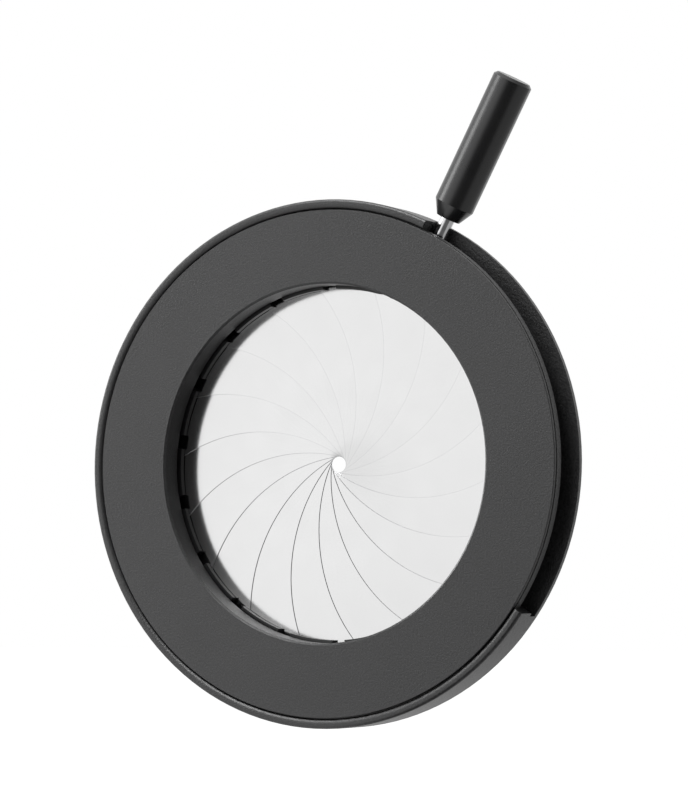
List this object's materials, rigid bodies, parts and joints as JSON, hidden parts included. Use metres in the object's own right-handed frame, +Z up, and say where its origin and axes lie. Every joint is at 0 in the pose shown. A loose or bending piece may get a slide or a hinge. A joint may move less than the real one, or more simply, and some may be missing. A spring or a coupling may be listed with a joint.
{
  "type": "iris diaphragm",
  "caption": "Adjustable optical iris: overlapping steel blades in a flat black ring housing, opened and closed by a radial lever.",
  "frame": {"origin": "on the optical axis, in the plane of the rear face", "axes": "+Y along the optical axis out of the rear face, so the front plate faces -Y; +Z up and +X to the right seen from the front"},
  "size_m": [0.053, 0.005, 0.065],
  "materials": {
    "housing": "matte",
    "front_plate": "matte",
    "actuator_ring": "satin",
    "lever_stud": "polished",
    "lever_knob": "satin",
    "blades": "satin",
    "blade_pins": "satin"
  },
  "bodies": {
    "body": {"housing": "housing", "front_plate": "front_plate"},
    "lever": {"actuator_ring": "actuator_ring", "lever_stud": "lever_stud", "lever_knob": "lever_knob"},
    "blade_01": {"blade_01": "blades", "blade_01_pins": "blade_pins"},
    "blade_02": {"blade_02": "blades", "blade_02_pins": "blade_pins"},
    "blade_03": {"blade_03": "blades", "blade_03_pins": "blade_pins"},
    "blade_04": {"blade_04": "blades", "blade_04_pins": "blade_pins"},
    "blade_05": {"blade_05": "blades", "blade_05_pins": "blade_pins"},
    "blade_06": {"blade_06": "blades", "blade_06_pins": "blade_pins"},
    "blade_07": {"blade_07": "blades", "blade_07_pins": "blade_pins"},
    "blade_08": {"blade_08": "blades", "blade_08_pins": "blade_pins"},
    "blade_09": {"blade_09": "blades", "blade_09_pins": "blade_pins"},
    "blade_10": {"blade_10": "blades", "blade_10_pins": "blade_pins"},
    "blade_11": {"blade_11": "blades", "blade_11_pins": "blade_pins"},
    "blade_12": {"blade_12": "blades", "blade_12_pins": "blade_pins"},
    "blade_13": {"blade_13": "blades", "blade_13_pins": "blade_pins"},
    "blade_14": {"blade_14": "blades", "blade_14_pins": "blade_pins"},
    "blade_15": {"blade_15": "blades", "blade_15_pins": "blade_pins"},
    "blade_16": {"blade_16": "blades", "blade_16_pins": "blade_pins"},
    "blade_17": {"blade_17": "blades", "blade_17_pins": "blade_pins"},
    "blade_18": {"blade_18": "blades", "blade_18_pins": "blade_pins"}
  },
  "joints": [
    {"name": "lever_turn", "type": "hinge", "parent": "body", "child": "lever", "pos_m": [0, 0, 0], "axis": [0, 1, 0], "range_deg": [0, 93.3]},
    {"name": "blade_01_turn", "type": "hinge", "parent": "body", "child": "blade_01", "pos_m": [0.0154, 0, 0.015], "axis": [0, 1, 0], "range_deg": [0, 45.71]},
    {"name": "blade_02_turn", "type": "hinge", "parent": "body", "child": "blade_02", "pos_m": [0.00934, 0, 0.01936], "axis": [0, 1, 0], "range_deg": [0, 45.71]},
    {"name": "blade_03_turn", "type": "hinge", "parent": "body", "child": "blade_03", "pos_m": [0.00216, 0, 0.02139], "axis": [0, 1, 0], "range_deg": [0, 45.71]},
    {"name": "blade_04_turn", "type": "hinge", "parent": "body", "child": "blade_04", "pos_m": [-0.00529, 0, 0.02084], "axis": [0, 1, 0], "range_deg": [0, 45.71]},
    {"name": "blade_05_turn", "type": "hinge", "parent": "body", "child": "blade_05", "pos_m": [-0.0121, 0, 0.01777], "axis": [0, 1, 0], "range_deg": [0, 45.71]},
    {"name": "blade_06_turn", "type": "hinge", "parent": "body", "child": "blade_06", "pos_m": [-0.01745, 0, 0.01256], "axis": [0, 1, 0], "range_deg": [0, 45.71]},
    {"name": "blade_07_turn", "type": "hinge", "parent": "body", "child": "blade_07", "pos_m": [-0.02069, 0, 0.00584], "axis": [0, 1, 0], "range_deg": [0, 45.71]},
    {"name": "blade_08_turn", "type": "hinge", "parent": "body", "child": "blade_08", "pos_m": [-0.02144, 0, -0.00159], "axis": [0, 1, 0], "range_deg": [0, 45.71]},
    {"name": "blade_09_turn", "type": "hinge", "parent": "body", "child": "blade_09", "pos_m": [-0.0196, 0, -0.00883], "axis": [0, 1, 0], "range_deg": [0, 45.71]},
    {"name": "blade_10_turn", "type": "hinge", "parent": "body", "child": "blade_10", "pos_m": [-0.0154, 0, -0.015], "axis": [0, 1, 0], "range_deg": [0, 45.71]},
    {"name": "blade_11_turn", "type": "hinge", "parent": "body", "child": "blade_11", "pos_m": [-0.00934, 0, -0.01936], "axis": [0, 1, 0], "range_deg": [0, 45.71]},
    {"name": "blade_12_turn", "type": "hinge", "parent": "body", "child": "blade_12", "pos_m": [-0.00216, 0, -0.02139], "axis": [0, 1, 0], "range_deg": [0, 45.71]},
    {"name": "blade_13_turn", "type": "hinge", "parent": "body", "child": "blade_13", "pos_m": [0.00529, 0, -0.02084], "axis": [0, 1, 0], "range_deg": [0, 45.71]},
    {"name": "blade_14_turn", "type": "hinge", "parent": "body", "child": "blade_14", "pos_m": [0.0121, 0, -0.01777], "axis": [0, 1, 0], "range_deg": [0, 45.71]},
    {"name": "blade_15_turn", "type": "hinge", "parent": "body", "child": "blade_15", "pos_m": [0.01745, 0, -0.01256], "axis": [0, 1, 0], "range_deg": [0, 45.71]},
    {"name": "blade_16_turn", "type": "hinge", "parent": "body", "child": "blade_16", "pos_m": [0.02069, 0, -0.00584], "axis": [0, 1, 0], "range_deg": [0, 45.71]},
    {"name": "blade_17_turn", "type": "hinge", "parent": "body", "child": "blade_17", "pos_m": [0.02144, 0, 0.00159], "axis": [0, 1, 0], "range_deg": [0, 45.71]},
    {"name": "blade_18_turn", "type": "hinge", "parent": "body", "child": "blade_18", "pos_m": [0.0196, 0, 0.00883], "axis": [0, 1, 0], "range_deg": [0, 45.71]}
  ],
  "couplings": [
    {"joint": "blade_01_turn", "follows": "lever_turn", "ratio": 0.48989},
    {"joint": "blade_02_turn", "follows": "lever_turn", "ratio": 0.48989},
    {"joint": "blade_03_turn", "follows": "lever_turn", "ratio": 0.48989},
    {"joint": "blade_04_turn", "follows": "lever_turn", "ratio": 0.48989},
    {"joint": "blade_05_turn", "follows": "lever_turn", "ratio": 0.48989},
    {"joint": "blade_06_turn", "follows": "lever_turn", "ratio": 0.48989},
    {"joint": "blade_07_turn", "follows": "lever_turn", "ratio": 0.48989},
    {"joint": "blade_08_turn", "follows": "lever_turn", "ratio": 0.48989},
    {"joint": "blade_09_turn", "follows": "lever_turn", "ratio": 0.48989},
    {"joint": "blade_10_turn", "follows": "lever_turn", "ratio": 0.48989},
    {"joint": "blade_11_turn", "follows": "lever_turn", "ratio": 0.48989},
    {"joint": "blade_12_turn", "follows": "lever_turn", "ratio": 0.48989},
    {"joint": "blade_13_turn", "follows": "lever_turn", "ratio": 0.48989},
    {"joint": "blade_14_turn", "follows": "lever_turn", "ratio": 0.48989},
    {"joint": "blade_15_turn", "follows": "lever_turn", "ratio": 0.48989},
    {"joint": "blade_16_turn", "follows": "lever_turn", "ratio": 0.48989},
    {"joint": "blade_17_turn", "follows": "lever_turn", "ratio": 0.48989},
    {"joint": "blade_18_turn", "follows": "lever_turn", "ratio": 0.48989}
  ]
}
